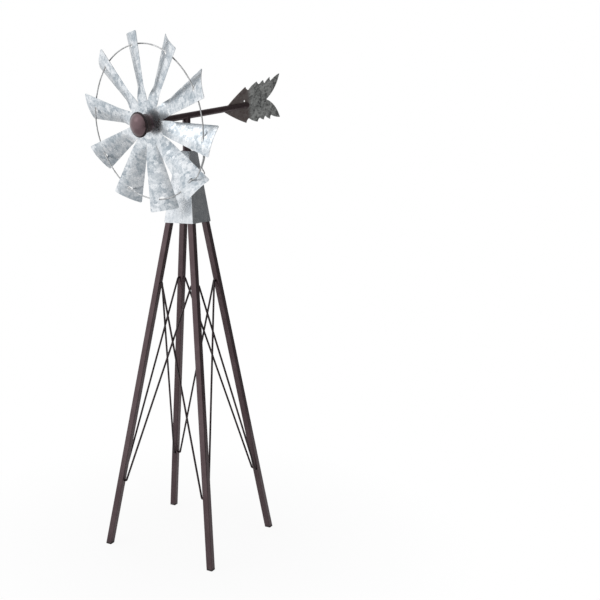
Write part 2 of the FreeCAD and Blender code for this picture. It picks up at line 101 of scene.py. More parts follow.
class WheelSizes(bpy.types.PropertyGroup):
    blades: IntProperty(name="Blades", description="Number of blades", default=10, min=3)
    turn: angle("Turn at rest", "First blade's angle from straight up", -6.5)
    thickness: length("Sheet", "Thickness of the blade sheet", 0.8)
    bore: length("Bore", "Radius of the hole at the wheel's middle", 6.2)
    root: length("Root", "Distance from the axle to where the blades part", 38.0)
    tip: length("Tip", "Distance from the axle to a blade's tip edge", 168.5)
    half_tip: length("Half tip", "Half the width of a blade at its tip", 30.0)
    corner: length("Tip corner", "Radius of a blade's tip corners", 3.0)
    twist_end: length("Twist end", "Distance from the axle to where the twist is complete", 74.0)
    pitch: angle("Pitch", "Angle of a blade's middle to the wheel's plane", 25.0)
    curl: angle("Curl", "Change of pitch from a blade's middle to each edge", 16.0)
    slot_radius: length("Slot place", "Distance from the axle to a rim slot's middle", 145.0)
    slot_length: length("Slot length", "Length of a rim slot", 12.0)
    slot_width: length("Slot width", "Width of a rim slot", 5.6)


class RimSizes(bpy.types.PropertyGroup):
    radius: length("Rim", "Radius of the rim", 146.0)
    wire: length("Wire", "Radius of the rim's wire", 1.3)
    join: angle("Join", "Where the hidden end starts, clockwise from straight up", 106.0)
    overlap: angle("Overlap", "How far the two ends run side by side", 18.5)
    bulge: length("Bulge", "How far the rim stands out where its ends meet", 7.5)
    bulge_span: angle("Bulge span", "From the hidden end to where the rim is round again", 31.5)
    kink: angle("Kink", "Length of the bent end, as a turn about the axle", 2.6)
    flare: length("Flare", "How far the bent end stands out", 11.0)


class HubSizes(bpy.types.PropertyGroup):
    dome_plane: length("Dome place", "Distance in front of the rim's plane to the dome's edge", 23.0)
    dome_radius: length("Dome", "Radius of the dome inside its lip", 22.0)
    dome_depth: length("Dome depth", "How far the dome bulges", 11.6)
    lip_radius: length("Lip", "Outer radius of the dome's rolled lip", 24.2)
    lip_groove: length("Lip groove", "Depth of the groove between the dome and its lip", 1.8)
    lip_width: length("Lip width", "Width of the rolled lip along the axle", 4.0)
    neck_radius: length("Neck", "Radius of the neck behind the dome", 17.5)
    neck_rear: length("Neck rear", "Distance in front of the rim's plane to the neck's rear end", 3.9)
    neck_wall: length("Neck wall", "Thickness of the neck's wall", 2.0)
    groove: length("Groove", "Depth of the two turned grooves in the neck", 0.7)


class TailSizes(bpy.types.PropertyGroup):
    thickness: length("Sheet", "Thickness of the tail sheet", 1.0)
    nose: length("Nose", "From the swivel's axis to the tail's front point", 107.0)
    barb: length("Barb", "From the swivel's axis to the barbs", 177.4)
    barb_height: length("Barb height", "Height of a barb above the tail's middle line", 37.8)
    waist: length("Waist", "From the swivel's axis to the notch behind the barbs", 186.1)
    waist_height: length("Waist height", "Height of the waist above the tail's middle line", 29.3)
    notch: length("Rear notch", "From the swivel's axis to the notch between the rear points", 243.7)
    tip_round: length("Tip round", "Radius of the points of the outline", 0.9)
    hole: length("Hole", "Radius of the small hole above the boom", 2.0)
    pivot_height: length("Boom height", "Height at which the boom's axis crosses the tower's", 871.9)
    boom_nod: angle("Boom nod", "How far the boom is set nose down", 7.0)
    pitch: angle("Pitch", "How far the tail is set tail up on the boom", 4.2)
    lean: angle("Lean", "How far the tail leans over", 7.7)
    pivot: length("Pitch place", "Place on the boom about which the tail is pitched", 170.0)
    lift: length("Lift", "Height of that place above the boom's axis", 0.33)


class FinishColours(bpy.types.PropertyGroup):
    paint: colour("Paint", "Dark bronze paint", 0.090, 0.056, 0.062)
    paint_worn: colour("Paint, rubbed", "The same paint where it is thin or dusty", 0.150, 0.105, 0.113)
    # The brace rods get a darker copy of the frame paint, set to match how dark the rods look.
    rod: colour("Rods", "Thicker paint on the brace rods", 0.020, 0.011, 0.013)
    # The dome's two colours are a lighter copy of the bronze paint: painted brightness for the light the
    # dome catches.
    dome: colour("Dome", "Paint of the polished dome", 0.160, 0.100, 0.110)
    dome_worn: colour("Dome, rubbed", "The same paint where it is thin", 0.250, 0.185, 0.195)
    # Painted shade: the near-black lip colour stands in for the shade and dark reflection round the dome's
    # lip.
    lip: colour("Lip", "Thick paint over the dome's lip", 0.010, 0.004, 0.005)
    zinc_light: colour("Zinc, light", "Bright crystals of the galvanised sheet", 0.86, 0.89, 0.92)
    zinc_dark: colour("Zinc, dark", "Dull crystals of the galvanised sheet", 0.40, 0.46, 0.51)
    cap_dark: colour("Cap, dark", "Dull streaks of the cap's sheet", 0.58, 0.62, 0.66)
    tail_light: colour("Tail, light", "Bright crystals of the tail sheet", 0.80, 0.82, 0.80)
    tail_dark: colour("Tail, dark", "Dull crystals of the tail sheet", 0.20, 0.205, 0.205)
    # Painted reflection: the brown over the barbed head stands in for the boom and dark surroundings
    # reflected in the sheet.
    tail_head_reflection: colour("Tail head", "Brown shade of the tail's barbed head", 0.255, 0.195, 0.185)
    wire: colour("Wire", "Drawn steel wire", 0.74, 0.75, 0.76)
    fitting: colour("Fittings", "Plated screws, rivets and pins", 0.58, 0.58, 0.55)
    nylon: colour("Nylon", "Moulded bushes and feet", 0.030, 0.024, 0.024)
    spangle: length("Spangle", "Width of a zinc crystal", 8.0)


class StageSettings(bpy.types.PropertyGroup):
    azimuth: angle("Azimuth", "Camera's angle round the windmill", 32.27)
    elevation: angle("Elevation", "Camera's angle above the horizon", 10.28)
    roll: angle("Roll", "Camera's turn about its own axis", -0.62)
    distance: length("Distance", "From the camera to the tower's middle", 1963.0)
    target_height: length("Target height", "Height of the point that the camera turns about", 500.0)
    lens: FloatProperty(name="Lens", description="Focal length in millimetres", default=58.0, min=10.0)
    shift_x: amount("Shift X", "Sideways shift of the picture", 0.186, -1.0)
    shift_y: amount("Shift Y", "Upward shift of the picture", 0.004, -1.0)
    floor: colour("Floor", "Pale floor", 0.86, 0.86, 0.86)
    floor_radius: length("Floor", "Radius of the floor", 1500.0)
    key: FloatProperty(name="Key light", description="Power of the large light", default=7.0, unit="POWER")
    fill: FloatProperty(name="Fill light", description="Power of the small light", default=1.5, unit="POWER")
    sky: FloatProperty(name="Sky", description="Brightness of the bright side of the studio", default=0.98)
    shade: FloatProperty(name="Shade", description="Brightness of the dark side of the studio", default=0.15)


# ---------------------------------------------------------------- nodes of a material

def fresh(name):
    """New material with a plain shader, and its node tree."""
    material = bpy.data.materials.new(name)
    material.use_nodes = True
    tree = material.node_tree
    return material, tree, tree.nodes["Principled BSDF"]


def add(tree, kind, inputs=None, **settings):
    """New node; a value for an input is a plain one, or another node's output to link."""
    node = tree.nodes.new(kind)
    for key, value in settings.items():
        setattr(node, key, value)
    for key, value in (inputs or {}).items():
        feed(tree, value, node.inputs[key])
    return node


def feed(tree, value, socket):
    if isinstance(value, bpy.types.NodeSocket):
        tree.links.new(value, socket)
    else:
        socket.default_value = value


def noise(tree, vector, size, detail=3.0, roughness=0.55):
    """Soft noise whose blotches are about size across, in metres."""
    node = add(tree, "ShaderNodeTexNoise", {"Vector": vector, "Scale": 1.0 / size, "Detail": detail,
                                            "Roughness": roughness})
    return node.outputs["Fac"]


def ranged(tree, value, low, high, to_low, to_high):
    node = add(tree, "ShaderNodeMapRange", {"Value": value, "From Min": low, "From Max": high,
                                            "To Min": to_low, "To Max": to_high})
    return node.outputs["Result"]


def blended(tree, factor, first, second):
    """Mix of two colours."""
    node = tree.nodes.new("ShaderNodeMix")
    node.data_type = "RGBA"
    feed(tree, factor, node.inputs[0])
    feed(tree, first, node.inputs[6])
    feed(tree, second, node.inputs[7])
    return node.outputs[2]


def maths(tree, operation, first, second, third=0.0):
    node = tree.nodes.new("ShaderNodeMath")
    node.operation = operation
    for socket, value in zip(node.inputs, (first, second, third)):
        feed(tree, value, socket)
    return node.outputs[0]


def stretched(tree, vector, scale):
    return add(tree, "ShaderNodeMapping", {"Vector": vector, "Scale": scale}).outputs["Vector"]


def bumped(tree, shader, height, depth, strength=1.0):
    node = add(tree, "ShaderNodeBump", {"Height": height, "Strength": strength, "Distance": depth})
    feed(tree, node.outputs["Normal"], shader.inputs["Normal"])


def surface_place(tree, sheet_map=None):
    """Where the pattern is laid: the piece's own space, or its flat sheet before bending."""
    if sheet_map:
        return add(tree, "ShaderNodeUVMap", uv_map=sheet_map).outputs["UV"]
    return add(tree, "ShaderNodeTexCoord").outputs["Object"]


# ---------------------------------------------------------------- materials

def bronze_paint(name, dark, light):
    """Semi-gloss sprayed paint with a fine orange-peel skin and thin dusty patches."""
    material, tree, shader = fresh(name)
    place = surface_place(tree)
    patches = noise(tree, place, 0.035, 5.0, 0.65)
    specks = noise(tree, place, 0.0022, 2.0)
    worn = maths(tree, "MULTIPLY", ranged(tree, patches, 0.42, 0.72, 0.0, 0.75),
                 ranged(tree, specks, 0.35, 0.65, 0.4, 1.0))
    feed(tree, blended(tree, worn, tuple(dark), tuple(light)), shader.inputs["Base Color"])
    feed(tree, ranged(tree, patches, 0.3, 0.7, 0.28, 0.40), shader.inputs["Roughness"])
    shader.inputs["Metallic"].default_value = 0.8
    shader.inputs["Coat Weight"].default_value = 0.5
    shader.inputs["Coat Roughness"].default_value = 0.15
    bumped(tree, shader, noise(tree, place, 0.0016, 2.0), 0.00006, 0.6)
    return material, tree, shader


def dome_paint(colours, sheet_map, lip):
    """The dome's paint, with painted shade darkening its outer edge and rolled lip."""
    # Lighter copy of the bronze paint: painted brightness for the light the dome catches.
    material, tree, shader = bronze_paint("bronze_dome", colours.dome, colours.dome_worn)
    radius = add(tree, "ShaderNodeSeparateXYZ", {0: surface_place(tree, sheet_map)}).outputs["X"]
    # Painted shade: near-black from about 3 mm inside the lip's outer radius outwards.
    painted_lip_shade = ranged(tree, radius, lip - 3.4 * MM, lip - 2.4 * MM, 0.0, 0.9)
    thin = shader.inputs["Base Color"].links[0].from_socket
    feed(tree, blended(tree, painted_lip_shade, thin, tuple(colours.lip)), shader.inputs["Base Color"])
    return material


SMALL_CRYSTALS = 2.6   # how many small crystals lie across a large one
LARGE_SHARE = 0.62     # share of the tone that comes from the large crystals
SMALL_SHARE = 0.38


def zinc_pattern(tree, place, spangle):
    """Crystal pattern of a hot-dipped sheet: tone per crystal, and its height."""
    wander = add(tree, "ShaderNodeTexNoise", {"Vector": place, "Scale": 1.6 / spangle, "Detail": 3.0})
    shift = add(tree, "ShaderNodeVectorMath", {0: wander.outputs["Color"], 1: (0.5, 0.5, 0.5)},
                operation="SUBTRACT")
    reach = add(tree, "ShaderNodeVectorMath", {0: shift.outputs[0], "Scale": 0.9 * spangle},
                operation="SCALE")
    bent = add(tree, "ShaderNodeVectorMath", {0: place, 1: reach.outputs[0]}, operation="ADD").outputs[0]
    large = add(tree, "ShaderNodeTexVoronoi", {"Vector": bent, "Scale": 1.0 / spangle})
    small = add(tree, "ShaderNodeTexVoronoi", {"Vector": bent, "Scale": SMALL_CRYSTALS / spangle})
    large_tone, small_tone = [add(tree, "ShaderNodeSeparateColor", {"Color": cells.outputs["Color"]})
                              for cells in (large, small)]
    tone = maths(tree, "MULTIPLY_ADD", large_tone.outputs["Red"], LARGE_SHARE,
                 maths(tree, "MULTIPLY", small_tone.outputs["Red"], SMALL_SHARE))
    height = maths(tree, "MULTIPLY_ADD", large.outputs["Distance"], -0.7,
                   maths(tree, "MULTIPLY", large_tone.outputs["Green"], 0.5))
    return tone, height


def galvanised(name, light, dark, spangle, sheet_map=None, streak=(1.0, 1.0, 0.12), streak_share=0.25,
               metallic=1.0, gloss=(0.24, 0.38)):
    """Hot-dipped sheet: mottled crystals, a white bloom over them and faint drag marks."""
    material, tree, shader = fresh(name)
    place = surface_place(tree, sheet_map)
    tone, height = zinc_pattern(tree, place, spangle)
    bloom = noise(tree, place, 5.0 * spangle, 4.0, 0.6)
    drag = noise(tree, stretched(tree, place, streak), 0.55 * spangle, 3.0, 0.6)
    drag = ranged(tree, drag, 0.3, 0.7, -streak_share, streak_share)
    mixed = maths(tree, "MULTIPLY_ADD", ranged(tree, bloom, 0.3, 0.7, -0.3, 0.3), 1.0, tone)
    mixed = maths(tree, "ADD", mixed, drag)
    share = ranged(tree, mixed, 0.0, 0.9, 0.0, 1.0)
    feed(tree, blended(tree, share, dark, light), shader.inputs["Base Color"])
    feed(tree, ranged(tree, mixed, 0.1, 0.9, gloss[1], gloss[0]), shader.inputs["Roughness"])
    shader.inputs["Metallic"].default_value = metallic
    bumped(tree, shader, height, 0.00012, 0.5)
    return material, tree, shader


def tail_sheet(colours, sheet_map, waist):
    """The tail's darker galvanised sheet, with a painted brown reflection over its barbed head."""
    material, tree, shader = galvanised(
        "galvanised_tail", tuple(colours.tail_light), tuple(colours.tail_dark), 0.9 * colours.spangle,
        sheet_map, streak=(0.35, 1.0, 1.0), streak_share=0.3, metallic=0.55, gloss=(0.34, 0.55))
    along = add(tree, "ShaderNodeSeparateXYZ", {0: surface_place(tree, sheet_map)}).outputs["X"]
    # Painted reflection: brown over the head, fading out between 4 mm before and 8 mm behind the waist.
    brown = ranged(tree, along, waist - 4 * MM, waist + 8 * MM, 0.8, 0.0)
    grey = shader.inputs["Base Color"].links[0].from_socket
    feed(tree, blended(tree, brown, grey, tuple(colours.tail_head_reflection)), shader.inputs["Base Color"])
    return material


def drawn_wire(colours):
    """Bright wire with fine lines and dull spots."""
    material, tree, shader = fresh("bright_wire")
    place = surface_place(tree)
    spots = noise(tree, place, 0.006, 4.0, 0.7)
    dull = tuple(0.45 * value for value in colours.wire[:3]) + (1.0,)
    feed(tree, blended(tree, ranged(tree, spots, 0.35, 0.7, 0.0, 1.0), tuple(colours.wire), dull),
         shader.inputs["Base Color"])
    feed(tree, ranged(tree, spots, 0.3, 0.7, 0.28, 0.5), shader.inputs["Roughness"])
    shader.inputs["Metallic"].default_value = 0.9
    bumped(tree, shader, noise(tree, place, 0.0009, 2.0), 0.00003, 0.5)
    return material


def plated_steel(colours):
    """Zinc-plated hardware with a light blue-yellow tarnish."""
    material, tree, shader = fresh("plated_steel")
    place = surface_place(tree)
    tarnish = noise(tree, place, 0.004, 4.0, 0.6)
    warm = (0.55, 0.50, 0.40, 1.0)
    feed(tree, blended(tree, ranged(tree, tarnish, 0.4, 0.75, 0.0, 0.6), tuple(colours.fitting), warm),
         shader.inputs["Base Color"])
    feed(tree, ranged(tree, tarnish, 0.3, 0.7, 0.25, 0.45), shader.inputs["Roughness"])
    shader.inputs["Metallic"].default_value = 1.0
    bumped(tree, shader, noise(tree, place, 0.0008, 2.0), 0.00003, 0.4)
    return material


def moulded_nylon(colours):
    """Matt moulded plastic with a fine grain and light scuffs."""
    material, tree, shader = fresh("moulded_nylon")
    place = surface_place(tree)
    scuffs = noise(tree, place, 0.008, 5.0, 0.7)
    pale = tuple(0.05 + value for value in colours.nylon[:3]) + (1.0,)
    feed(tree, blended(tree, ranged(tree, scuffs, 0.5, 0.8, 0.0, 0.8), tuple(colours.nylon), pale),
         shader.inputs["Base Color"])
    feed(tree, ranged(tree, scuffs, 0.3, 0.7, 0.55, 0.75), shader.inputs["Roughness"])
    bumped(tree, shader, noise(tree, place, 0.0007, 3.0), 0.00006, 0.6)
    return material


def dress(names, material):
    """Give carried-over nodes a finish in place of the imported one."""
    for name in names:
        slots = NODES[name].data.materials
        slots.clear()
        slots.append(material)


# ---------------------------------------------------------------- sheet, wire and turned shapes

SHEET_MAP = "sheet_place"
CREASE = math.radians(35)   # edges sharper than this are softened


def eased(share):
    """Smooth step from 0 to 1."""
    share = min(max(share, 0.0), 1.0)
    return share * share * (3 - 2 * share)


def arc(centre, radius, start, end, steps):
    """Points along an arc; angles in degrees, counter-clockwise from the first axis."""
    places = []
    for step in range(steps + 1):
        turn = math.radians(start + (end - start) * step / steps)
        places.append((centre[0] + radius * math.cos(turn), centre[1] + radius * math.sin(turn)))
    return places


def cut_sheet(loops, cuts_across, cuts_along):
    """Flat sheet bounded by closed loops, with creases laid so that it can be bent."""
    sheet = bmesh.new()
    for loop in loops:
        corners = [sheet.verts.new((x, y, 0)) for x, y in loop]
        for first, second in zip(corners, corners[1:] + corners[:1]):
            sheet.edges.new((first, second))
    bmesh.ops.triangle_fill(sheet, use_beauty=True, edges=sheet.edges[:])
    for normal, places in (((1, 0, 0), cuts_across), ((0, 1, 0), cuts_along)):
        for place in places:
            bmesh.ops.bisect_plane(sheet, geom=sheet.verts[:] + sheet.edges[:] + sheet.faces[:],
                                   plane_co=Vector(normal) * place, plane_no=normal)
    return sheet


def mark_sheet(sheet, offset):
    """Keep each point's place on the flat sheet, for the pattern of its surface."""
    layer = sheet.loops.layers.uv.verify()
    for face in sheet.faces:
        for corner in face.loops:
            corner[layer].uv = (corner.vert.co.x + offset[0], corner.vert.co.y + offset[1])


def mark_turned(shape):
    """Keep each point's distance from the axle and place along it."""
    layer = shape.loops.layers.uv.verify()
    for face in shape.faces:
        for corner in face.loops:
            corner[layer].uv = (corner.vert.co.yz.length, corner.vert.co.x)


def new_piece(name, mesh_builder, material):
    """Object from a bmesh, in the frame's own space."""
    mesh = bpy.data.meshes.new(name)
    mesh_builder.to_mesh(mesh)
    mesh_builder.free()
    for polygon in mesh.polygons:
        polygon.use_smooth = True
    if mesh.uv_layers:
        mesh.uv_layers[0].name = SHEET_MAP
    mesh.materials.append(material)
    piece = bpy.data.objects.new(name, mesh)
    bpy.context.scene.collection.objects.link(piece)
    return piece


def thicken(piece, thickness, edge):
    """Sheet thickness about the middle surface, with softened edges."""
    solid = piece.modifiers.new("thickness", "SOLIDIFY")
    solid.thickness = thickness
    solid.offset = 0.0
    soften(piece, edge)


def soften(piece, edge):
    """Small rounds on the sharp edges."""
    bevel = piece.modifiers.new("soft_edges", "BEVEL")
    bevel.width = edge
    bevel.segments = 2
    bevel.limit_method = "ANGLE"
    bevel.angle_limit = CREASE
    bevel.harden_normals = True


def attach(piece, body, slot, *nodes):
    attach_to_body(piece, body)
    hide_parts(*nodes)


def put(shape, place):
    """Move a whole shape into a frame."""
    bmesh.ops.transform(shape, matrix=place, verts=shape.verts[:])


def join_rings(shape, rings):
    """Bands of four-sided faces from each ring of points to the next."""
    for ring, after in zip(rings, rings[1:]):
        for place in range(len(ring)):
            following = (place + 1) % len(ring)
            shape.faces.new((ring[place], ring[following], after[following], after[place]))


def turned(profile, steps):
    """Shape made by turning a closed profile of (along, radius) points about the X axis."""
    shape = bmesh.new()
    rings = []
    for step in range(steps):
        turn = 2 * math.pi * step / steps
        rings.append([shape.verts.new((along, radius * math.cos(turn), radius * math.sin(turn)))
                      for along, radius in profile])
    join_rings(shape, rings + rings[:1])
    bmesh.ops.remove_doubles(shape, verts=shape.verts[:], dist=0.00001)
    bmesh.ops.recalc_face_normals(shape, faces=shape.faces[:])
    return shape


def wire_along(points, radius, sides):
    """Round wire along a list of points, closed at both ends."""
    tube = bmesh.new()
    rings = []
    for number, point in enumerate(points):
        ahead = points[min(number + 1, len(points) - 1)] - points[max(number - 1, 0)]
        ahead.normalize()
        side = ahead.cross(Vector((1, 0, 0))).normalized()
        other = ahead.cross(side)
        rings.append([tube.verts.new(point + (side * math.cos(turn) + other * math.sin(turn)) * radius)
                      for turn in (2 * math.pi * step / sides for step in range(sides))])
    join_rings(tube, rings)
    for ring in (rings[0], rings[-1]):
        tube.faces.new(ring)
    bmesh.ops.recalc_face_normals(tube, faces=tube.faces[:])
    return tube


# ---------------------------------------------------------------- the wheel

def blade_pattern(wheel):
    """Outline of one blade and its share of the wheel's middle, and its rim slot."""
    half_share = math.pi / wheel.blades
    root_half = wheel.root * math.tan(half_share)
    start = 90 - math.degrees(half_share)
    outline = arc((0, 0), wheel.bore, 180 - start, start, 6)
    outline.append((root_half, wheel.root))
    lean = math.degrees(math.atan2(wheel.half_tip - root_half, wheel.tip - wheel.root))
    centre_x = wheel.half_tip - wheel.corner
    centre_y = wheel.tip - wheel.corner
    outline += arc((centre_x, centre_y), wheel.corner, -lean, 90, 6)
    outline += arc((-centre_x, centre_y), wheel.corner, 90, 180 + lean, 6)
    outline.append((-root_half, wheel.root))
    reach = (wheel.slot_length - wheel.slot_width) / 2
    slot = arc((reach, wheel.slot_radius), wheel.slot_width / 2, -90, 90, 8)
    slot += arc((-reach, wheel.slot_radius), wheel.slot_width / 2, 90, 270, 8)
    return outline, slot


def bend_blade(wheel, place):
    """Move a point of the flat blade to where the pitched and curled blade has it."""
    across, radius = place.x, place.y
    share = eased((radius - wheel.root) / (wheel.twist_end - wheel.root))
    if share == 0.0:
        return Vector((0.0, -across, radius))
    root_half = wheel.root * math.tan(math.pi / wheel.blades)
    slope = (wheel.half_tip - root_half) / (wheel.tip - wheel.root)
    half = root_half + slope * (radius - wheel.root)
    pitch = share * wheel.pitch
    curl = share * wheel.curl
    far = pitch - curl * across / half
    forward = half * (math.cos(far) - math.cos(pitch)) / curl
    sideways = half * (math.sin(pitch) - math.sin(far)) / curl
    return Vector((-forward, -sideways, radius))


class WINDMILL_OT_press_blades(bpy.types.Operator):
    """Press the ten-bladed wheel from one sheet: cut, slot, pitch and curl its blades"""
    bl_idname = "windmill.press_blades"
    bl_label = "Press Blades"

    def execute(self, context):
        wheel = context.scene.windmill_wheel
        colours = context.scene.windmill_finish
        outline, slot = blade_pattern(wheel)
        across = [wheel.half_tip * step / 9 for step in range(-8, 9)]
        along = [wheel.root + (wheel.tip - wheel.root) * step / 40 for step in range(40)]
        whole = bmesh.new()
        step_turn = 2 * math.pi / wheel.blades
        for number in range(wheel.blades):
            blade = cut_sheet([outline, slot], across, along)
            mark_sheet(blade, (number * 3 * wheel.half_tip, 0.7 * wheel.tip * (number % 3)))
            spin = Matrix.Rotation(step_turn * number, 3, "X")
            for vertex in blade.verts:
                vertex.co = spin @ bend_blade(wheel, vertex.co)
            part = bpy.data.meshes.new("blade")
            blade.to_mesh(part)
            blade.free()
            whole.from_mesh(part)
            bpy.data.meshes.remove(part)
        bmesh.ops.remove_doubles(whole, verts=whole.verts[:], dist=0.02 * MM)
        bmesh.ops.recalc_face_normals(whole, faces=whole.faces[:])
        put(whole, head_frame(WHEEL_CENTRE) @ Matrix.Rotation(wheel.turn, 4, "X"))
        sheet = galvanised("galvanised_blades", tuple(colours.zinc_light), tuple(colours.zinc_dark),
                           colours.spangle, SHEET_MAP, streak=(0.3, 1.0, 1.0), streak_share=0.2)[0]
        piece = new_piece("blades", whole, sheet)
        thicken(piece, wheel.thickness, 0.15 * wheel.thickness)
        attach(piece, "wheel", "galvanised_sheet", "blade_wheel")
        return {"FINISHED"}


RIM_STEPS = 600
BULGE_RISE = 0.3      # share of the bulge's span over which it rises
BULGE_FALL = 0.25     # and over which it falls again
END_SPACING = 1.08    # half the distance between the two ends, in radii of the wire
END_REACH = 1.6       # where an end is back in the rim's plane, in overlaps
SWAY = 0.5 * MM       # slow and quick unevenness of the rim, and out of its plane
RIPPLE = 0.3 * MM
WAVER = 0.4 * MM


def rim_path(rim):
    """Points of the rim's wire, from its hidden end round to its bent end."""
    whole_turn = 2 * math.pi
    end = rim.join + whole_turn + rim.overlap
    points = []
    for step in range(RIM_STEPS + 1):
        turn = rim.join + (end - rim.join) * step / RIM_STEPS
        past_join = turn - rim.join
        last_lap = past_join > 0.5 * whole_turn
        bulge_place = (past_join - whole_turn * last_lap) / rim.bulge_span
        bulge = rim.bulge * eased(bulge_place / BULGE_RISE) * eased((1 - bulge_place) / BULGE_FALL)
        flare = rim.flare * eased(1 - (end - turn) / rim.kink)
        from_end = abs(end - turn if last_lap else past_join)
        apart = END_SPACING * rim.wire * eased(END_REACH - from_end / rim.overlap)
        sway = SWAY * math.sin(3 * turn + 0.4) + RIPPLE * math.sin(7 * turn)
        radius = rim.radius + bulge + flare + sway
        points.append(Vector(((apart if last_lap else -apart) + WAVER * math.sin(5 * turn),
                              -radius * math.sin(turn), radius * math.cos(turn))))
    return points


class WINDMILL_OT_thread_rim(bpy.types.Operator):
    """Thread the rim's wire through the blades' slots, with its ends side by side"""
    bl_idname = "windmill.thread_rim"
    bl_label = "Thread Rim"

    def execute(self, context):
        rim = context.scene.windmill_rim
        tube = wire_along(rim_path(rim), rim.wire, 16)
        put(tube, head_frame(WHEEL_CENTRE))
        piece = new_piece("rim", tube, drawn_wire(context.scene.windmill_finish))
        soften(piece, 0.2 * rim.wire)
        attach(piece, "wheel", "bright_wire", "rim_wire")
        return {"FINISHED"}


CROWN = 179.9               # where the dome's arc ends, a hair short of the axle, in degrees
DOME_STEPS = 24
TURNED_STEPS = 96
DOME_WALL = 1.0 * MM
LIP_START = 0.1 * MM        # the groove's floor stands this far outside the dome
LIP_STEP = 1.5 * MM         # from the dome's edge plane back to the front end of the lip's bore
NECK_ENTRY = 3.0 * MM       # from the dome's edge plane back to the neck's front end
NECK_BORE = 6.2 * MM
NECK_CORE = 6.0 * MM        # how far the neck's inner face stands in front of its rear end
GROOVE_PLACES = (0.28, 0.52)
HALF_GROOVE = 0.9 * MM


class WINDMILL_OT_spin_hub(bpy.types.Operator):
    """Spin the hub's dome with its rolled lip, and turn the grooved neck behind it"""
    bl_idname = "windmill.spin_hub"
    bl_label = "Spin Hub"

    def execute(self, context):
        hub = context.scene.windmill_hub
        paint = bpy.data.materials["bronze_paint"]
        dome_paint_with_painted_light = dome_paint(context.scene.windmill_finish, SHEET_MAP, hub.lip_radius)
        place = head_frame(WHEEL_CENTRE)
        plane = -hub.dome_plane
        sphere = (hub.dome_radius ** 2 + hub.dome_depth ** 2) / (2 * hub.dome_depth)
        centre = (plane - hub.dome_depth + sphere, 0.0)
        edge = 180 - math.degrees(math.asin(hub.dome_radius / sphere))
        half_lip = hub.lip_width / 2
        profile = arc(centre, sphere, CROWN, edge, DOME_STEPS)
        profile.append((plane + hub.lip_groove, hub.dome_radius + LIP_START))
        profile += arc((plane + half_lip, hub.lip_radius - half_lip), half_lip, 165, 0, 10)
        profile += [(plane + hub.lip_width, hub.neck_radius), (plane + LIP_STEP, hub.neck_radius)]
        profile += arc(centre, sphere - DOME_WALL, edge, CROWN, DOME_STEPS)
        dome = turned(profile, TURNED_STEPS)
        mark_turned(dome)
        put(dome, place)
        attach(new_piece("dome", dome, dome_paint_with_painted_light), "wheel", "bronze_paint", "hub_dome")

        front = plane + NECK_ENTRY
        rear = -hub.neck_rear
        outline = [(rear, NECK_BORE), (rear, hub.neck_radius)]
        for share in GROOVE_PLACES:
            middle = rear + share * (front - rear)
            outline += [(middle + HALF_GROOVE, hub.neck_radius), (middle, hub.neck_radius - hub.groove),
                        (middle - HALF_GROOVE, hub.neck_radius)]
        inside = hub.neck_radius - hub.neck_wall
        outline += [(front, hub.neck_radius), (front, inside), (rear - NECK_CORE, inside),
                    (rear - NECK_CORE, NECK_BORE)]
        neck = turned(outline, TURNED_STEPS)
        put(neck, place)
        piece = new_piece("neck", neck, paint)
        soften(piece, 0.3 * MM)
        attach(piece, "wheel", "bronze_paint", "hub_neck")
        return {"FINISHED"}


# ---------------------------------------------------------------- the tail

FEATHER_TIPS = ((214.0, 42.4), (234.7, 42.1), (255.8, 44.8), (288.5, 47.1))   # millimetres
FEATHER_ROOTS = ((222.0, 35.5), (239.5, 34.8), (258.5, 36.2))
HOLE_PLACE = (173.0 * MM, 9.0 * MM)
NOSE_BOW = 0.02
BARB_BOW = -0.12
FEATHER_BOW = 0.05
ROOT_BOW = -0.15
REAR_BOW = 0.10
REAR_STEPS = 10


def bowed(start, end, bow, steps=6):
    """Points from start to just before end, on a gentle bow to the left of the way there."""
    start, end = Vector(start), Vector(end)
    way = end - start
    left = Vector((-way.y, way.x)) * bow
    places = []
    for step in range(steps):
        share = step / steps
        places.append(tuple(start + way * share + left * 4 * share * (1 - share)))
    return places


def tail_pattern(tail):
    """Upper half of the tail's outline, from its nose over the feathers to the rear notch."""
    upper = bowed((tail.nose, 0.0), (tail.barb, tail.barb_height), NOSE_BOW)
    upper += bowed((tail.barb, tail.barb_height), (tail.waist, tail.waist_height), BARB_BOW)
    last = (tail.waist, tail.waist_height)
    for number, tip in enumerate(FEATHER_TIPS):
        tip = (tip[0] * MM, tip[1] * MM)
        upper += bowed(last, tip, FEATHER_BOW)
        if number < len(FEATHER_ROOTS):
            last = (FEATHER_ROOTS[number][0] * MM, FEATHER_ROOTS[number][1] * MM)
            upper += bowed(tip, last, ROOT_BOW)
        else:
            upper += bowed(tip, (tail.notch, 0.0), REAR_BOW, REAR_STEPS)
    return upper


def rounded_points(outline, radius):
    """Cut each sharp point of an outline back to a small round."""
    smooth = []
    count = len(outline)
    for number, point in enumerate(outline):
        here = Vector(point)
        before = Vector(outline[number - 1]) - here
        after = Vector(outline[(number + 1) % count]) - here
        if before.angle(after) > math.radians(140):
            smooth.append(point)
            continue
        back = min(1.6 * radius, 0.4 * before.length, 0.4 * after.length)
        first = here + before.normalized() * back
        last = here + after.normalized() * back
        for step in range(5):
            share = step / 4
            place = first * (1 - share) ** 2 + here * 2 * share * (1 - share) + last * share ** 2
            smooth.append(tuple(place))
    return smooth


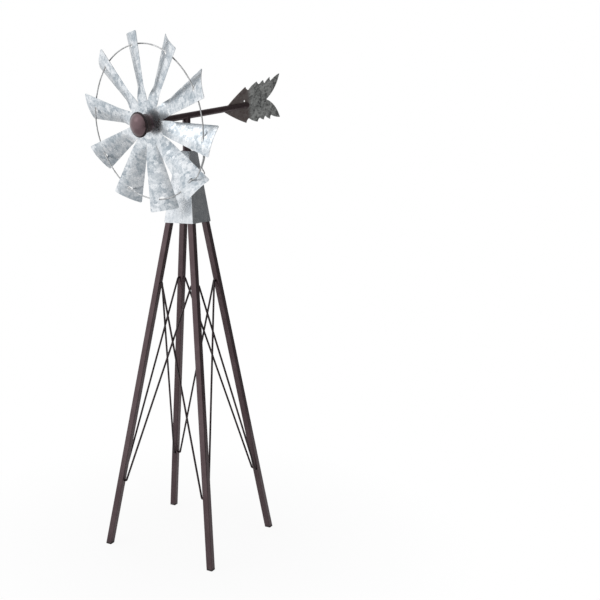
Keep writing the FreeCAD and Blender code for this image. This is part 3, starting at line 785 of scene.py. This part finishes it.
class WINDMILL_OT_cut_tail(bpy.types.Operator):
    """Cut the arrow-shaped tail with its barbed head and swept feathers"""
    bl_idname = "windmill.cut_tail"
    bl_label = "Cut Tail"

    def execute(self, context):
        tail = context.scene.windmill_tail
        upper = tail_pattern(tail)
        lower = [(along, -height) for along, height in reversed(upper[1:])]
        outline = rounded_points(upper + [(tail.notch, 0.0)] + lower, tail.tip_round)
        hole = arc(HOLE_PLACE, tail.hole, 0, 345, 23)
        sheet = cut_sheet([outline, hole], [], [])
        mark_sheet(sheet, (0.0, 0.0))
        for vertex in sheet.verts:
            vertex.co = Vector((vertex.co.x, 0.0, vertex.co.y))
        bmesh.ops.recalc_face_normals(sheet, faces=sheet.faces[:])
        put(sheet, tail_frame(tail))
        finish = tail_sheet(context.scene.windmill_finish, SHEET_MAP, tail.waist)
        piece = new_piece("tail", sheet, finish)
        thicken(piece, tail.thickness, 0.2 * tail.thickness)
        attach(piece, "head", "galvanised_tail", "tail_vane")
        return {"FINISHED"}


# ---------------------------------------------------------------- carried-over nodes

CORNERS = ("front_left", "front_right", "rear_right", "rear_left")
SIDES = ("front", "right", "rear", "left")


class WINDMILL_OT_paint_frame(bpy.types.Operator):
    """Paint the legs, braces, post, boom and the hub's plates"""
    bl_idname = "windmill.paint_frame"
    bl_label = "Paint Frame"

    def execute(self, context):
        colours = context.scene.windmill_finish
        dress(["leg_" + corner for corner in CORNERS]
              + ["pivot_post", "post_collar", "swivel_sleeve", "boom_tube", "axle_spacer",
                 "hub_back_plate", "hub_flange", "tail_rivets"],
              bronze_paint("bronze_paint", colours.paint, colours.paint_worn)[0])
        # The brace rods: a darker copy of the frame paint, set to match how dark they look.
        dress(["brace_%s_%s" % (side, letter) for side in SIDES for letter in "ab"],
              bronze_paint("bronze_rods", colours.rod, colours.paint)[0])
        return {"FINISHED"}


class WINDMILL_OT_galvanise_cap(bpy.types.Operator):
    """Give the cap and its top plate their galvanised finish, dragged downwards"""
    bl_idname = "windmill.galvanise_cap"
    bl_label = "Galvanise Cap"

    def execute(self, context):
        colours = context.scene.windmill_finish
        sheet = galvanised("galvanised_cap", tuple(colours.zinc_light), tuple(colours.cap_dark),
                           colours.spangle, streak=(1.0, 1.0, 0.08), streak_share=0.3)[0]
        dress(["tower_cap", "cap_top_plate"], sheet)
        return {"FINISHED"}


class WINDMILL_OT_finish_fittings(bpy.types.Operator):
    """Plate the screws, rivets, pins and axle, and mould the bushes and feet"""
    bl_idname = "windmill.finish_fittings"
    bl_label = "Finish Fittings"

    def execute(self, context):
        colours = context.scene.windmill_finish
        dress(["swivel_pin", "wheel_axle", "axle_insert", "axle_washers", "axle_nut", "bracket_screws",
               "hub_screws", "leg_bracket"], plated_steel(colours))
        dress(["foot_" + corner for corner in CORNERS]
              + ["leg_top_plugs", "thrust_washer", "post_bush_upper", "post_bush_lower", "hub_bush"],
              moulded_nylon(colours))
        return {"FINISHED"}


# ---------------------------------------------------------------- stage

BRIGHT_WAY = (-0.78, -0.55, 0.40)   # towards the bright side of the studio
KEY_PLACE = Vector((-1.7, -2.2, 2.3))
KEY_SIZE = 1.6
FILL_PLACE = Vector((2.0, -1.6, 1.2))
FILL_SIZE = 1.2
FLOOR_SIDES = 96


def area_light(name, place, target, size, power):
    """Square light at a place, turned to face the target."""
    lamp = bpy.data.lights.new(name, "AREA")
    lamp.energy = power
    lamp.size = size
    holder = bpy.data.objects.new(name, lamp)
    holder.location = place
    holder.rotation_euler = (target - place).to_track_quat("-Z", "Y").to_euler()
    bpy.context.scene.collection.objects.link(holder)


def studio_world(stage):
    """White all round to look at; it lights from the front left and is dark behind to the right."""
    world = bpy.data.worlds.new("studio")
    world.use_nodes = True
    tree = world.node_tree
    background = tree.nodes["Background"]
    way = add(tree, "ShaderNodeTexCoord").outputs["Generated"]
    side = add(tree, "ShaderNodeVectorMath", {0: way, 1: BRIGHT_WAY}, operation="DOT_PRODUCT")
    glow = ranged(tree, side.outputs["Value"], -0.15, 0.55, stage.shade, stage.sky)
    seen = add(tree, "ShaderNodeLightPath").outputs["Is Camera Ray"]
    strength = maths(tree, "MAXIMUM", glow, seen)
    feed(tree, strength, background.inputs["Strength"])
    background.inputs["Color"].default_value = (1.0, 1.0, 1.0, 1.0)
    bpy.context.scene.world = world


def pale_floor(stage):
    """Round floor whose edge fades into the white of the studio."""
    disc = bmesh.new()
    middle = disc.verts.new((0, 0, 0))
    previous = None
    for share in (0.35, 0.7, 1.0):
        ring = [disc.verts.new((share * stage.floor_radius * math.cos(turn),
                                share * stage.floor_radius * math.sin(turn), 0))
                for turn in (2 * math.pi * step / FLOOR_SIDES for step in range(FLOOR_SIDES))]
        for place in range(FLOOR_SIDES):
            following = (place + 1) % FLOOR_SIDES
            if previous is None:
                disc.faces.new((middle, ring[place], ring[following]))
            else:
                disc.faces.new((previous[place], ring[place], ring[following], previous[following]))
        previous = ring
    material, tree, shader = fresh("pale_floor")
    place = surface_place(tree)
    grain = noise(tree, place, 0.02, 3.0)
    shade = tuple(0.985 * value for value in stage.floor[:3]) + (1.0,)
    feed(tree, blended(tree, grain, shade, tuple(stage.floor)), shader.inputs["Base Color"])
    shader.inputs["Roughness"].default_value = 0.8
    reach = add(tree, "ShaderNodeVectorMath", {0: place}, operation="LENGTH").outputs["Value"]
    fade = ranged(tree, reach, 0.10 * stage.floor_radius, 0.4 * stage.floor_radius, 0.92, 1.0)
    seen = add(tree, "ShaderNodeLightPath").outputs["Is Camera Ray"]
    fade = maths(tree, "MULTIPLY", fade, seen)
    glow = add(tree, "ShaderNodeEmission", {"Color": (1, 1, 1, 1), "Strength": 1.0})
    mixed = add(tree, "ShaderNodeMixShader", {0: fade, 1: shader.outputs[0], 2: glow.outputs[0]})
    feed(tree, mixed.outputs[0], tree.nodes["Material Output"].inputs["Surface"])
    return new_piece("floor", disc, material)


class WINDMILL_OT_set_stage(bpy.types.Operator):
    """Lay the pale floor, hang the soft lights and stand the camera"""
    bl_idname = "windmill.set_stage"
    bl_label = "Set Stage"

    def execute(self, context):
        stage = context.scene.windmill_stage
        pale_floor(stage)
        studio_world(stage)
        middle = Vector((0, 0, stage.target_height))
        area_light("key_light", KEY_PLACE, middle, KEY_SIZE, stage.key)
        area_light("fill_light", FILL_PLACE, middle, FILL_SIZE, stage.fill)

        turn, rise, roll = stage.azimuth, stage.elevation, stage.roll
        back = Vector((math.sin(turn) * math.cos(rise), -math.cos(turn) * math.cos(rise), math.sin(rise)))
        level = Vector((math.cos(turn), math.sin(turn), 0))
        right = level * math.cos(roll) + back.cross(level) * math.sin(roll)
        up = back.cross(right)
        lens = bpy.data.cameras.new("camera")
        lens.lens = stage.lens
        lens.shift_x = stage.shift_x
        lens.shift_y = stage.shift_y
        camera = bpy.data.objects.new("camera", lens)
        camera.matrix_world = Matrix.Translation(middle + back * stage.distance) @ Matrix(
            (right, up, back)).transposed().to_4x4()
        context.scene.collection.objects.link(camera)
        context.scene.camera = camera
        context.scene.view_settings.view_transform = "Standard"
        return {"FINISHED"}


# ---------------------------------------------------------------- panel and registration

OPERATORS = (WINDMILL_OT_paint_frame, WINDMILL_OT_galvanise_cap, WINDMILL_OT_finish_fittings,
             WINDMILL_OT_press_blades, WINDMILL_OT_thread_rim, WINDMILL_OT_spin_hub,
             WINDMILL_OT_cut_tail, WINDMILL_OT_set_stage)
SETTINGS = {
    "windmill_wheel": WheelSizes,
    "windmill_rim": RimSizes,
    "windmill_hub": HubSizes,
    "windmill_tail": TailSizes,
    "windmill_finish": FinishColours,
    "windmill_stage": StageSettings,
}


class WINDMILL_PT_sidebar(bpy.types.Panel):
    """Lists the windmill's pieces and their sizes"""
    bl_label = "Garden Windmill"
    bl_idname = "WINDMILL_PT_sidebar"
    bl_space_type = "VIEW_3D"
    bl_region_type = "UI"
    bl_category = "Windmill"

    def draw(self, context):
        for operator in OPERATORS:
            self.layout.operator(operator.bl_idname)
        for setting in SETTINGS:
            box = self.layout.box()
            group = getattr(context.scene, setting)
            for key in group.__annotations__:
                box.prop(group, key)


def register():
    for group in SETTINGS.values():
        bpy.utils.register_class(group)
    for operator in OPERATORS:
        bpy.utils.register_class(operator)
    bpy.utils.register_class(WINDMILL_PT_sidebar)
    for setting, group in SETTINGS.items():
        setattr(bpy.types.Scene, setting, PointerProperty(type=group))


def unregister():
    for setting in SETTINGS:
        delattr(bpy.types.Scene, setting)
    bpy.utils.unregister_class(WINDMILL_PT_sidebar)
    for operator in reversed(OPERATORS):
        bpy.utils.unregister_class(operator)
    for group in SETTINGS.values():
        bpy.utils.unregister_class(group)


def main():
    register()
    for operator in OPERATORS:
        family, name = operator.bl_idname.split(".")
        getattr(getattr(bpy.ops, family), name)()


if __name__ == "__main__":
    main()
